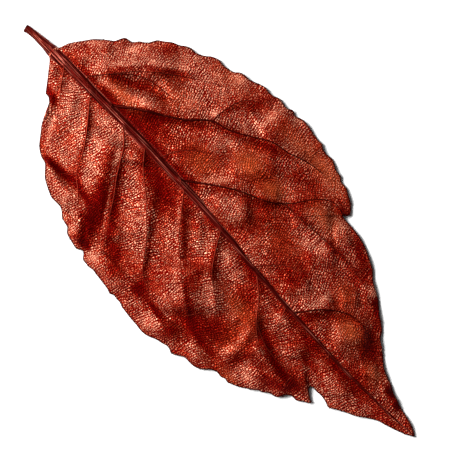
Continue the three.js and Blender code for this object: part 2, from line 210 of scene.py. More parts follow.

# where the skin is painted darker (below 0) or paler, partly its own tone and partly painted shade and light
# that the folds and veins would give: x, y, half length, half width, turn in degrees, amount
toneAndShadePatches = [
    # broad changes of painted light and shade: paler towards the stalk's end, darker towards the tip
    (22, 2, 24, 22, 0, 0.3), (50, 22, 26, 7, 0, 0.15), (98, 2, 22, 18, 0, -0.22),
    (50, -9, 12, 9, -30, -0.3),
    # left half
    (17, 9, 8, 3.5, 45, 0.2), (28.5, 12.6, 5, 0.9, 8, 0.5), (19.5, 13.4, 1.2, 0.8, 40, 1.5),
    (13, 8.6, 1.4, 0.7, 50, 1.4), (11.5, 5.6, 1.4, 1, 50, -0.6), (24.5, 18.5, 2.6, 1.2, 40, -0.5),
    (37, 21, 10, 3, 28, 0.3), (39.6, 25.2, 1.1, 1, 0, 1.7), (41.2, 16.4, 0.8, 1.4, -25, 1.4),
    (36.5, 14.5, 2.4, 2.4, 30, 0.4), (46, 23.5, 1.4, 2.4, -20, -0.8), (50, 24.5, 0.9, 3.2, 0, 1.3),
    (53, 25.5, 1.4, 3, 0, -0.2), (54, 28, 0.8, 1, 0, 0.6), (35, 5.2, 8, 2.3, 18, -1),
    (47, 13.5, 3, 1.6, 30, 0.5), (41, 9, 3, 2, 30, 0.2), (48.3, 3, 1.4, 1.2, 30, -1),
    (51.6, 6.7, 2.6, 0.7, 52, 1.7), (54, 16, 2.6, 3.4, 10, 0.4),
    (57, 13.5, 2, 3, -25, -0.9), (62.5, 15, 2, 1.8, 30, 0.4), (63, 20, 4.5, 1.8, 20, -0.7),
    (60, 26.3, 6, 1.2, -8, 0.2), (66.5, 25, 6, 2, -12, 0.4), (57, 5.6, 4, 2.4, 25, 0.6),
    (66, 9.5, 5, 3, 25, -0.45), (74, 17.5, 5, 2.8, 10, 0.4), (76.3, 12.8, 3.4, 1.8, 5, 1.2),
    (76.5, 19.5, 2.4, 1.2, 10, 0.4), (75, 21.7, 1.2, 0.8, 0, -1.2), (84.5, 18, 4.5, 1.2, -25, -0.9),
    (90, 11, 3, 1.6, -30, 0.3), (91.6, 14.8, 1.1, 0.8, -35, 1.8), (77.8, 12.8, 0.8, 0.8, 0, 0.8),
    (93.6, 13.5, 1, 0.6, -35, -0.9), (95, 13, 2.2, 0.9, -38, -1.1), (78, 5, 3, 2, 30, -0.5),
    (81, 4.8, 2, 2.4, 20, 0.3), (93.5, 5.2, 3, 2, 35, 0.6), (99, 6, 4, 2, -40, -1),
    (103.5, 3.2, 2.2, 1.2, -15, 0.4), (109.3, 2.9, 1.5, 0.8, -20, -2.4), (107.5, 3.5, 0.9, 0.7, -20, 0.9),
    (112.4, 1.9, 1, 0.7, -30, -2.4), (72, 5, 4, 3, 0, -0.3),
    # right half
    (44, -9, 6.5, 3.5, -48, 0.25), (17, -1.6, 5, 0.7, 0, 0.6), (13.6, -4.4, 2.2, 0.6, -15, 0.6),
    (15, -5.8, 2.4, 0.8, -15, -1.7), (24.5, -2, 1.6, 1, 0, 0.6), (31.5, -8.5, 5.5, 2, -62, 0.3),
    (26.5, -14.2, 2.5, 0.8, 10, 0.3), (31.5, -18.6, 4, 1.3, -8, 0.6), (27.5, -17.8, 1, 1.4, 30, 0.3),
    (37.8, -13.5, 5.5, 1.9, -66, -1.3), (40, -18.6, 3.5, 2.2, -40, -1.4), (43, -2.2, 5.5, 2, -18, -1.6),
    (47.5, -1.5, 2.4, 1.4, -20, -0.3), (38.3, -21.8, 1, 1.3, 20, 1.5), (42.2, -22.4, 1.6, 0.9, 0, -2.2),
    (44, -8.5, 6.5, 2.2, -48, 0.4), (47, -18.6, 2.2, 1.4, -20, -1.2), (45.6, -23, 1.8, 1.2, 0, 1.2),
    (60, -13, 6, 2.6, -42, 0.6), (56.8, -20.4, 1.6, 1.7, 0, -1.4), (62.5, -21.2, 4.2, 0.8, -5, -1.7),
    (51, -21.5, 3, 1.2, 0, -0.5), (63.6, -23.8, 1.8, 1.3, 0, 1.4), (60.5, -5, 2.2, 1.2, -40, 0.5),
    (66, -2.5, 3, 1.9, -10, 0.9), (63.5, -9.5, 2.5, 1, -45, -0.4), (67.5, -10.4, 5, 1.7, -36, 0.8),
    (74, -15, 3.6, 2.8, -10, -1.5), (72, -18.3, 5.5, 1, -8, -1.2), (67.8, -22, 1.5, 2, 0, -0.8),
    (74.5, -6.2, 3.5, 1.6, -38, -0.6), (75, -21.3, 3, 1.3, 0, 0.4), (82, -16.5, 1.2, 3.6, -8, -0.8),
    (86.2, -16.9, 1.8, 1.1, -10, 1.2), (86, -13, 3, 1.6, 0, -0.6), (90.5, -14, 3.5, 0.9, 20, -0.8),
    (91.5, -5.4, 3, 0.9, 0, -0.6), (100, -6, 4, 2, 10, 0.2), (82.2, -3, 2, 1.4, 0, 0.8),
]

# long dark (below 0) and pale streaks, partly the veins' own colour and partly painted shade and light beside
# the midrib, veins and folds: crest points, amount, reach on each side as for the folds
toneAndShadeStreaks = [
    ([(7, 2), (14, 2.5), (30, 2.6), (44, 2.3), (56, 1.6)], -1.3, 1.5, 1.1),
    ([(50, 0.6), (62, -0.2), (74, -1.4), (92, -1.9), (112, -1.2)], -0.7, 1.2, 1),
    ([(17, 3.6), (24, 4.8), (29, 6.8), (34, 9.4)], 0.85, 0.9, 0.9),
    ([(18, 5.5), (23, 7.2), (28, 10.2), (34.5, 11.2)], -1.2, 1.1, 1.1),
    ([(16, 4.5), (21, 10.4), (24, 14), (30, 18.6), (36, 22)], 0.7, 0.6, 0.6),
    ([(19, 6), (23.5, 12), (29, 16), (33, 19.5)], -0.9, 0.6, 1.4),
    ([(25, 2.2), (30, 5.4), (38, 10.6), (42, 14.4), (50, 18), (58, 21.6), (66, 24)], -1, 0.7, 1.5),
    ([(42.6, 15), (42.9, 19), (44, 22.5)], -0.6, 0.6, 0.6),
    ([(40.2, 2.2), (41.7, 5.3), (45, 8.7), (48, 10)], -0.6, 0.6, 0.6),
    ([(47, 2), (53, 6.2), (60, 10.3), (66, 14.6), (70, 20), (75, 21.5)], -0.7, 0.6, 1.4),
    ([(65, 14), (76, 14.8), (84, 15), (90, 14.3)], -0.6, 0.7, 0.7),
    ([(84.4, 1), (85.2, 5), (85.7, 9)], 1.2, 0.8, 0.8),
    ([(84, 0), (88, 4), (92, 7.6), (98, 7.6)], -0.7, 0.6, 1.2),
    ([(20.5, -0.5), (25, -4.8), (28.2, -10), (31, -13.6), (35, -16.4)], -0.7, 0.5, 0.6),
    ([(22.5, -3.5), (26.5, -9), (28, -13)], 0.5, 1.2, 0.6),
    ([(17.8, -6.8), (19.6, -11), (23, -15)], 0.8, 0.7, 0.7),
    ([(21, -15.8), (27, -15.6), (32, -15), (39, -16.2)], -1.9, 0.6, 0.9),
    ([(31, -0.6), (36, -7.5), (40, -13.5), (44.2, -19.5)], 1, 0.4, 0.4),
    ([(33, -3), (38, -9.5), (42, -14), (46, -20)], -1.1, 0.5, 1.3),
    ([(31.8, -3.5), (34.5, -8.5), (37, -14)], -0.7, 1.4, 0.6),
    ([(44.5, -5.5), (49, -9.8), (52.5, -13.4), (56, -18)], -0.5, 0.35, 0.35),
    ([(45.5, -7), (51.5, -13.4), (55, -18)], 0.5, 0.7, 0.5),
    ([(48.5, -0.5), (52, -4.2), (57, -9)], 0.6, 0.7, 0.5),
    ([(50, -0.6), (54, -4.6), (58.5, -8.6), (62, -12)], -0.6, 0.35, 0.45),
    ([(60.5, -1.5), (64, -6), (67, -9)], -0.8, 0.6, 1),
    ([(61.5, -11.6), (66, -15.2), (72, -18.4)], -1.1, 0.4, 1),
    ([(78.2, -8.5), (79.4, -12.5), (78.8, -18.5)], 0.8, 0.9, 0.6),
    ([(78, -6.3), (81, -8), (85, -9.6), (90, -10.8), (97.5, -11)], -1.3, 0.8, 0.9),
]

# where the red turns to orange: x, y, half length, half width, turn, amount
warmSpots = [
    (54, 14.5, 3.4, 2.6, 0, 0.9), (94, 5.6, 3.4, 2.2, 0, 0.8), (66, 25, 6, 2.4, 0, 0.6),
    (73, 18, 4, 2.4, 0, 0.6), (70, 8, 5, 3, 0, 0.3), (61.5, 15, 2.5, 2, 0, 0.5), (47, 7.5, 4, 2.6, 0, 0.6),
    (75, -8, 4, 1.8, 0, 0.6), (104, 3, 2.4, 1.4, 0, 0.6), (25.5, 5.2, 5, 1.4, 0, 0.6),
    (33, 13, 5, 3, 0, 0.3), (88, 10, 3, 2, 0, 0.5), (61, 13.5, 3, 2, 0, 0.5), (78, -13, 3, 4, 0, 0.3),
    (57, 25, 6, 2, 0, 0.4), (38, 24, 4, 2, 0, 0.3), (84, -20, 4, 1, 0, 0.4),
]


def smoothStep(low, high, value):
    share = np.clip((value - low) / (high - low), 0, 1)
    return share * share * (3 - 2 * share)


def smoothPath(points, step):
    # a dense polyline on a smooth curve through plan points
    points = np.array(points, float)
    gaps = np.linalg.norm(np.diff(points, axis=0), axis=1)
    slopes = np.diff(points, axis=0) / gaps[:, None]
    inner = slopes[:-1] * gaps[1:, None] + slopes[1:] * gaps[:-1, None]
    inner /= (gaps[:-1] + gaps[1:])[:, None]
    tangents = np.vstack([slopes[:1], inner, slopes[-1:]])
    runs = []
    for i, gap in enumerate(gaps):
        share = np.linspace(0, 1, max(2, int(gap / step) + 1), endpoint=False)[:, None]
        blend = smoothStep(0, 1, share)
        bend = tangents[i] * share * (1 - share) ** 2 - tangents[i + 1] * share**2 * (1 - share)
        runs.append(points[i] * (1 - blend) + points[i + 1] * blend + gap * bend)
    return np.vstack(runs + [points[-1:]])


def alongPath(path, share):
    # points at shares of a path's length
    reached = np.concatenate([[0], np.cumsum(np.linalg.norm(np.diff(path, axis=0), axis=1))])
    at = share * reached[-1]
    return np.stack([np.interp(at, reached, path[:, axis]) for axis in (0, 1)], axis=-1)


def ribAt(x):
    # centre y, half width, rise and depth of the stalk and midrib
    after = np.clip(np.searchsorted(ribStations[:, 0], x), 1, len(ribStations) - 1)
    low, high = ribStations[after - 1], ribStations[after]
    share = smoothStep(low[..., 0], high[..., 0], x)[..., None]
    return np.moveaxis((low + (high - low) * share)[..., 1:], -1, 0)


def foldHeight(x, y, crest, height, stalkReach, tipReach):
    path = smoothPath(crest, blade["foldStep"])
    outwards = np.sign(crest[-1][1] - crest[0][1])
    nearest = np.full(x.shape, 1e6)
    side = np.ones(x.shape)
    along = np.zeros(x.shape)
    for i, (start, end) in enumerate(zip(path, path[1:])):
        run = end - start
        share = np.clip(((x - start[0]) * run[0] + (y - start[1]) * run[1]) / (run @ run), 0, 1)
        offX, offY = x - start[0] - share * run[0], y - start[1] - share * run[1]
        distance = np.hypot(offX, offY)
        closer = distance < nearest
        nearest = np.where(closer, distance, nearest)
        side = np.where(closer, np.sign(run[0] * offY - run[1] * offX), side)
        along = np.where(closer, (i + share) / (len(path) - 1), along)
    reach = np.where(side == outwards, stalkReach, tipReach)
    endFade = smoothStep(0, 0.2, along) * smoothStep(0, 0.25, 1 - along)
    return height * endFade * np.exp(-(nearest / reach) ** 2)


def gather(lines, x, y):
    # the sum of all folds or streaks at plan points
    total = np.zeros(x.shape)
    for crest, height, stalkReach, tipReach in lines:
        reach = 3 * max(stalkReach, tipReach)
        xs, ys = zip(*crest)
        near = (x > min(xs) - reach) & (x < max(xs) + reach) & (y > min(ys) - reach) & (y < max(ys) + reach)
        total[near] += foldHeight(x[near], y[near], crest, height, stalkReach, tipReach)
    return total


def bladeHeight(x, y, out):
    middle = blade["length"] / 2
    arch = blade["archHeight"] * np.clip(1 - ((x - middle) / middle) ** 2, 0, 1) ** blade["archPower"]
    drop = blade["camber"] * arch * out ** blade["camberPower"]
    besideRib = smoothStep(0, blade["foldClear"], np.abs(y - ribAt(x)[0]))
    return arch - drop + blade["foldGain"] * besideRib * gather(folds, x, y)


def spotSum(spots, x, y):
    # the sum of soft oval spots at plan points
    total = np.zeros(x.shape)
    for spotX, spotY, length, width, turn, amount in spots:
        cosine, sine = math.cos(math.radians(turn)), math.sin(math.radians(turn))
        along = (x - spotX) * cosine + (y - spotY) * sine
        across = (y - spotY) * cosine - (x - spotX) * sine
        total += amount * np.exp(-((along / length) ** 2 + (across / width) ** 2))
    return total


def toRow(x, y, z):
    # plan millimetres to the row frame in metres
    return np.stack([x * mm + leafLow.x, (y - blade["planLowY"]) * mm + leafLow.y, z * mm], axis=-1)


def place(name, data):
    made = bpy.data.objects.new(name, data)
    scene.collection.objects.link(made)
    return made


leftPath, rightPath = [smoothPath(margin, blade["marginStep"]) for margin in (leftMargin, rightMargin)]


def marginDistance(x, y):
    # how far the margin is, and how far along the margins its nearest point lies
    points = np.vstack([leftPath, rightPath])
    tree = KDTree(len(points))
    for i, (pointX, pointY) in enumerate(points):
        tree.insert((pointX, pointY, 0), i)
    tree.balance()
    hits = [tree.find((planX, planY, 0)) for planX, planY in zip(x.ravel(), y.ravel())]
    distance = np.array([hit[2] for hit in hits]).reshape(x.shape)
    index = np.array([hit[1] for hit in hits]).reshape(x.shape)
    return distance, index * blade["marginStep"]


def layRings():
    # each point's plan position, thickness above and below, way out on the blade, woodiness and half
    share = np.concatenate([
        np.linspace(-1, 0, blade["stalkRings"], endpoint=False),
        np.linspace(0, blade["lastRing"], blade["bladeRings"])])[:, None]
    inBlade = np.maximum(share, 0)
    lean = (1 - blade["rowLean"]) * inBlade + blade["rowLean"] * inBlade**2
    onStalk = blade["start"] * (1 + share)
    x = np.where(share < 0, onStalk, blade["start"] + (blade["length"] - blade["start"]) * lean)
    ribY, halfWidth, rise, depth = ribAt(x)

    outward = np.linspace(0, 1, blade["sideColumns"] + 1)[1:]
    ribEdge = np.ones(blade["sideColumns"])
    onRib = np.concatenate([-ribEdge, np.linspace(-1, 1, blade["ribColumns"]), ribEdge])[None, :]
    out = np.concatenate([outward[::-1], np.zeros(blade["ribColumns"]), outward])[None, :]
    half = np.sign(onRib)

    edgeAngle = blade["edgeAngle"]
    angle = np.linspace(math.pi - edgeAngle, edgeAngle, onRib.shape[1])[None, :]
    stalk = [
        x + 0 * angle, ribY + halfWidth * np.cos(angle) / math.cos(edgeAngle),
        rise * np.sin(angle), depth * np.sin(angle)]

    footY = ribY + onRib * halfWidth
    left, right = [alongPath(path, inBlade[:, 0])[:, None, :] for path in (leftPath, rightPath)]
    margin = np.where(half[..., None] < 0, right, left)
    runX, runY = margin[..., 0] - x, margin[..., 1] - footY
    bow = blade["rowBow"] * out * (1 - out) * half
    halfThick = (blade["thickness"] + (blade["rimThickness"] - blade["thickness"]) * out**3) / 2
    roundness = np.sqrt(np.clip(1 - onRib**2, 0, 1))
    sheet = [
        x + out * runX - bow * runY, footY + out * runY + bow * runX,
        halfThick + (rise - halfThick) * roundness, halfThick + (depth - halfThick) * roundness]
    opened = smoothStep(0, blade["opened"], inBlade)
    planX, planY, above, below = [
        ofStalk + (ofSheet - ofStalk) * opened for ofStalk, ofSheet in zip(stalk, sheet)]
    # the stalk was cut at a slant
    cut = blade["cutSlant"] * (halfWidth[0] - planY + ribY) * np.exp(-(planX / blade["cutReach"]) ** 2)
    woody = np.where(share < 0, 1.0, 1 - smoothStep(0, 0.02, out))
    return planX + cut, planY, above, below, out + 0 * x, woody, half + 0 * x


def closedSkin(rings, size):
    # faces that join the rings, with a fan over each end: the two end points follow the last ring
    here = np.arange(size)
    after = (here + 1) % size
    starts = np.arange(rings - 1)[:, None] * size
    quads = np.stack([starts + here, starts + size + here, starts + size + after, starts + after], axis=-1)
    first = rings * size
    lastRing = first - size
    faces = quads.reshape(-1, 4).tolist()
    for left, right in zip(here.tolist(), after.tolist()):
        faces.append((first, left, right))
        faces.append((first + 1, lastRing + right, lastRing + left))
    return faces


def buildBlade():
    planX, planY, above, below, out, woody, half = layRings()
    height = bladeHeight(planX, planY, out)
    edge, alongMargin = marginDistance(planX, planY)
    # the stalk has no margin: there the distance grows from its cut
    edge = np.where(planX < blade["start"], np.minimum(5, 0.1 + 0.5 * planX), edge)
    wave = np.sin(2 * math.pi * alongMargin / blade["rippleLength"])
    ripple = blade["rippleHeight"] * wave * np.exp(-edge / blade["rippleReach"])
    height += ripple * smoothStep(8, 14, planX)     # the base is smooth

    top = toRow(planX, planY, height + above)
    bottom = toRow(planX, planY, height - below)
    skinPoints = np.concatenate([top, bottom[:, ::-1]], axis=1).reshape(-1, 3)
    cutMiddle = toRow(np.array(blade["cutDepth"]), planY[0].mean(), height[0].mean())
    tipPoint = toRow(np.array(blade["length"]), np.array(0.0), height[-1].mean())
    rings, columns = planX.shape
    mesh = bpy.data.meshes.new("flatBlade")
    points = np.vstack([skinPoints, cutMiddle, tipPoint]).tolist()
    mesh.from_pydata(points, [], closedSkin(rings, 2 * columns))

    def wrap(values, atEnds):
        both = np.concatenate([values, values[:, ::-1]], axis=1).ravel()
        return np.concatenate([both, atEnds]).astype(np.float32)

    upper = np.concatenate([np.ones_like(planX), np.zeros_like(planX)], axis=1).ravel()
    # tone: the skin's own darker and paler places together with painted shade and painted light
    toneAndShade = np.clip(spotSum(toneAndShadePatches, planX, planY) + gather(toneAndShadeStreaks, planX, planY), -2.2, 1.8)
    warmth = np.clip(spotSum(warmSpots, planX, planY), 0, 1)
    fields = dict(
        upperSide=np.concatenate([upper, [0.5, 0.5]]).astype(np.float32),
        woody=wrap(woody, [1, 0]), edgeDistance=wrap(edge, [0, 0]),
        toneAndShade=wrap(toneAndShade, [0, 0]), warmth=wrap(warmth, [0, 0]))
    for name, values in fields.items():
        mesh.attributes.new(name, "FLOAT", "POINT").data.foreach_set("value", values)

    lean = math.radians(blade["grainLean"])
    along = planX * math.cos(lean) + np.abs(planY) * math.sin(lean)
    across = planX * math.sin(lean) - np.abs(planY) * math.cos(lean)
    across = np.where(half < 0, across + blade["grainOffset"], across)
    grain = np.stack([wrap(along, [0, blade["length"]]), wrap(across, [0, 0])], axis=-1)
    corners = np.zeros(len(mesh.loops), np.int32)
    mesh.loops.foreach_get("vertex_index", corners)
    mesh.uv_layers.new(name="grain").data.foreach_set("uv", grain[corners].ravel().astype(np.float32))
    mesh.shade_smooth()
    return place("flatBlade", mesh)


class TreeMaker:
    # adds nodes to a tree and links what they are given
    def __init__(self, tree):
        self.tree = tree
        tree.nodes.clear()

    def node(self, kind, inputs=None, **settings):
        made = self.tree.nodes.new(kind)
        for key, value in settings.items():
            setattr(made, key, value)
        for key, value in (inputs or {}).items():
            self.feed(made.inputs[key], value)
        return made

    def feed(self, socket, value):
        if isinstance(value, bpy.types.NodeSocket):
            self.tree.links.new(value, socket)
        elif isinstance(value, bpy.types.Node):
            self.tree.links.new(next(output for output in value.outputs if output.enabled), socket)
        else:
            socket.default_value = value

    def math(self, operation, first, second=0.0, clamp=False):
        inputs = {0: first, 1: second}
        return self.node("ShaderNodeMath", inputs, operation=operation, use_clamp=clamp).outputs[0]

    def plus(self, first, second):
        return self.math("ADD", first, second)

    def minus(self, first, second):
        return self.math("SUBTRACT", first, second)

    def times(self, first, second):
        return self.math("MULTIPLY", first, second)

    def centred(self, value, gain):
        # a pattern of 0 to 1 made to swing about zero
        return self.times(self.minus(value, 0.5), gain)

    def vector(self, operation, first, second=(0, 0, 0), third=(0, 0, 0)):
        inputs = {0: first, 1: second, 2: third}
        return self.node("ShaderNodeVectorMath", inputs, operation=operation).outputs[0]

    def scaled(self, vector, factor):
        return self.node("ShaderNodeVectorMath", {0: vector, "Scale": factor}, operation="SCALE").outputs[0]

    def mix(self, factor, first, second, kind="FLOAT"):
        made = self.node("ShaderNodeMix", data_type=kind)
        slot, output = {"FLOAT": (2, 0), "VECTOR": (4, 1), "RGBA": (6, 2)}[kind]
        self.feed(made.inputs[0], factor)
        self.feed(made.inputs[slot], first)
        self.feed(made.inputs[slot + 1], second)
        return made.outputs[output]

    def noise(self, vector, size, detail=2.0, roughness=0.5):
        inputs = {"Vector": vector, "Scale": 1.0 / size, "Detail": detail, "Roughness": roughness}
        return self.node("ShaderNodeTexNoise", inputs).outputs

    def remap(self, value, source, target=(0.0, 1.0), kind="SMOOTHSTEP"):
        names = ("Value", "From Min", "From Max", "To Min", "To Max")
        inputs = dict(zip(names, (value, *source, *target)))
        return self.node("ShaderNodeMapRange", inputs, interpolation_type=kind).outputs[0]

    # from here on for Geometry Nodes only
    def attribute(self, name, kind="FLOAT"):
        made = self.node("GeometryNodeInputNamedAttribute", {"Name": name}, data_type=kind)
        return made.outputs["Attribute"]

    def store(self, geometry, name, value, domain="POINT"):
        inputs = {"Geometry": geometry, "Name": name, "Value": value}
        return self.node("GeometryNodeStoreNamedAttribute", inputs, data_type="FLOAT", domain=domain)

    def random(self, low, high, seed):
        inputs = {2: low, 3: high, "Seed": seed}
        return self.node("FunctionNodeRandomValue", inputs, data_type="FLOAT").outputs[1]

    def objectGeometry(self, source):
        made = self.node("GeometryNodeObjectInfo", {"Object": source}, transform_space="ORIGINAL")
        return made.outputs["Geometry"]

    def close(self, geometry, material):
        realized = self.node("GeometryNodeRealizeInstances", {0: geometry})
        coloured = self.node("GeometryNodeSetMaterial", {"Geometry": realized, "Material": material})
        self.node("NodeGroupOutput", {0: coloured})


def geometryTree(name, settings, objectInput):
    # a Geometry Nodes group with a named input for each setting, for one object and for the material
    tree = bpy.data.node_groups.new(name, "GeometryNodeTree")
    kinds = {float: "NodeSocketFloat", int: "NodeSocketInt"}
    inputs = [("Geometry", "NodeSocketGeometry"), (objectInput, "NodeSocketObject")]
    inputs += [(key, kinds[type(value)]) for key, value in settings.items()]
    for label, kind in inputs + [("material", "NodeSocketMaterial")]:
        tree.interface.new_socket(label, in_out="INPUT", socket_type=kind)
    tree.interface.new_socket("Geometry", in_out="OUTPUT", socket_type="NodeSocketGeometry")
    nodes = TreeMaker(tree)
    return tree, nodes, nodes.node("NodeGroupInput").outputs


# settings that aren't lengths
plainNumbers = (
    "seed", "sides", "points", "sink", "endShare", "shortest", "flatness", "lean", "smallest", "largest",
    "wrinkleStretch", "point")


def growMesh(name, source, tree, settings, **others):
    # runs a tree on an object and keeps the result as a plain mesh
    values = {key: value if key in plainNumbers else value * mm for key, value in settings.items()}
    values.update(others)
    modifier = source.modifiers.new(tree.name, "NODES")
    modifier.node_group = tree
    for item in tree.interface.items_tree:
        if item.in_out == "INPUT" and item.name in values:
            modifier[item.identifier] = values[item.name]
    graph = bpy.context.evaluated_depsgraph_get()
    grown = source.evaluated_get(graph)
    mesh = bpy.data.meshes.new_from_object(grown, preserve_all_data_layers=True, depsgraph=graph)
    source.modifiers.remove(modifier)
    mesh.name = name
    return place(name, mesh)


def pathCurve(name, paths):
    # one poly curve object with a spline for each plan path: (points, radius, tilt)
    curve = bpy.data.curves.new(name, "CURVE")
    curve.dimensions = "3D"
    for points, radius, tilt in paths:
        dense = smoothPath(points, blade["veinStep"])
        spline = curve.splines.new("POLY")
        spline.points.add(len(dense) - 1)
        for point, (x, y) in zip(spline.points, dense):
            point.co = (*toRow(x, y, 0), 1)
            point.radius = radius
            point.tilt = tilt
    return place(name, curve)


crumple = dict(
    ridgeHeight=0.28,      # skin lifted along each side vein
    ridgeWidth=0.75,
    dentHeight=0.42,       # soft dents between the veins
    dentSize=7.0,
    wrinkleHeight=0.17,    # fine wrinkles across the veins
    wrinkleSize=1.5,
    wrinkleStretch=0.5,
    seed=11.0,
)


def crumpleTree():
    tree, nodes, given = geometryTree("crumpleSkin", crumple, "veinPaths")

    def patternAt(vector, seed, detail, roughness=0.5, distortion=0.0):
        made = nodes.node("ShaderNodeTexNoise", {
            "Vector": vector, "W": seed, "Scale": 1.0, "Detail": detail, "Roughness": roughness,
            "Distortion": distortion}, noise_dimensions="4D")
        return made.outputs[0]

    flat = nodes.vector("MULTIPLY", nodes.node("GeometryNodeInputPosition"), (1, 1, 0))
    lines = nodes.node("GeometryNodeCurveToMesh", {"Curve": nodes.objectGeometry(given["veinPaths"])})
    near = nodes.node("GeometryNodeProximity", {0: lines, "Sample Position": flat}, target_element="EDGES")
    reach = nodes.math("DIVIDE", near.outputs["Distance"], given["ridgeWidth"])
    ridge = nodes.math("EXPONENT", nodes.times(nodes.math("POWER", reach, 2.0), -1.0))
    ridge = nodes.times(ridge, nodes.times(given["ridgeHeight"], nodes.attribute("upperSide")))

    dentCells = nodes.scaled(flat, nodes.math("DIVIDE", 1.0, given["dentSize"]))
    dents = nodes.centred(patternAt(dentCells, given["seed"], 1.5), given["dentHeight"])
    grain = nodes.scaled(nodes.attribute("grain", "FLOAT_VECTOR"), mm)
    grain = nodes.scaled(grain, nodes.math("DIVIDE", 1.0, given["wrinkleSize"]))
    stretch = nodes.node("ShaderNodeCombineXYZ", {0: 1.0, 1: given["wrinkleStretch"], 2: 1.0})
    stretched = nodes.vector("MULTIPLY", grain, stretch)
    wrinkles = patternAt(stretched, nodes.plus(given["seed"], 3.7), 2.0, roughness=0.6, distortion=0.4)
    wrinkles = nodes.centred(wrinkles, given["wrinkleHeight"])
    offRib = nodes.minus(1.0, nodes.attribute("woody"))
    lift = nodes.plus(ridge, nodes.times(nodes.plus(dents, wrinkles), offRib))
    offset = nodes.node("ShaderNodeCombineXYZ", {2: lift})
    moved = nodes.node("GeometryNodeSetPosition", {"Geometry": given["Geometry"], "Offset": offset})
    nodes.close(moved, given["material"])
    return tree


def layOnBlade(nodes, geometry, bladeObject, sink):
    # drops points onto the blade's upper side and lets go of those that miss it
    above = nodes.vector("MULTIPLY_ADD", nodes.node("GeometryNodeInputPosition"), (1, 1, 0), (0, 0, 0.05))
    hit = nodes.node("GeometryNodeRaycast", {
        "Target Geometry": nodes.objectGeometry(bladeObject), "Source Position": above,
        "Ray Direction": (0, 0, -1), "Ray Length": 0.1})
    missed = nodes.node("FunctionNodeBooleanMath", {0: hit.outputs["Is Hit"]}, operation="NOT")
    inputs = {"Geometry": geometry, "Selection": missed}
    kept = nodes.node("GeometryNodeDeleteGeometry", inputs, domain="POINT")
    sunk = nodes.vector("ADD", hit.outputs["Hit Position"], nodes.scaled((0, 0, -1), sink))
    return nodes.node("GeometryNodeSetPosition", {"Geometry": kept, "Position": sunk})


def narrowing(nodes, endShare):
    # 1 at the start of each path, down to the end share at its end
    along = nodes.node("GeometryNodeSplineParameter").outputs["Factor"]
    return nodes.minus(1.0, nodes.times(along, nodes.minus(1.0, endShare)))


def tubeAlong(nodes, curve, sides):
    ring = nodes.node("GeometryNodeCurvePrimitiveCircle", {"Resolution": sides, "Radius": 1.0})
    tube = nodes.node("GeometryNodeCurveToMesh", {
        "Curve": curve, "Profile Curve": ring.outputs["Curve"], "Fill Caps": True,
        "Scale": nodes.node("GeometryNodeInputRadius")})
    return nodes.node("GeometryNodeSetShadeSmooth", {0: tube})


def untilted(nodes, curve, name):
    # the paths' tilt carries a number: it moves to an attribute, and the curve is set straight
    kept = nodes.store(curve, name, nodes.node("GeometryNodeInputCurveTilt"))
    return nodes.node("GeometryNodeSetCurveTilt", {"Curve": kept, "Tilt": 0.0})


veins = dict(sides=8, step=0.45, endShare=0.3)


def veinTree():
    # a tapering cord along each side vein, with its middle on the skin
    tree, nodes, given = geometryTree("laySideVeins", veins, "blade")
    spaced = nodes.node(
        "GeometryNodeResampleCurve", {"Curve": given["Geometry"], "Length": given["step"]}, mode="LENGTH")
    straight = untilted(nodes, spaced, "veinDark")
    thickest = nodes.times(nodes.node("GeometryNodeInputRadius"), mm / 2)
    radius = nodes.times(thickest, narrowing(nodes, given["endShare"]))
    sized = nodes.node("GeometryNodeSetCurveRadius", {"Curve": straight, "Radius": radius})
    laid = layOnBlade(nodes, sized, given["blade"], 0.0)
    nodes.close(tubeAlong(nodes, laid, given["sides"]), given["material"])
    return tree


crossThreads = dict(
    spacing=1.7, reach=4.2, thickness=0.17, wander=1.1, wanderSize=2.2,
    sink=0.35,         # how deep a thread's middle lies in the skin, as a share of its radius
    shortest=0.45, endShare=0.4, points=12, sides=5, seed=4)


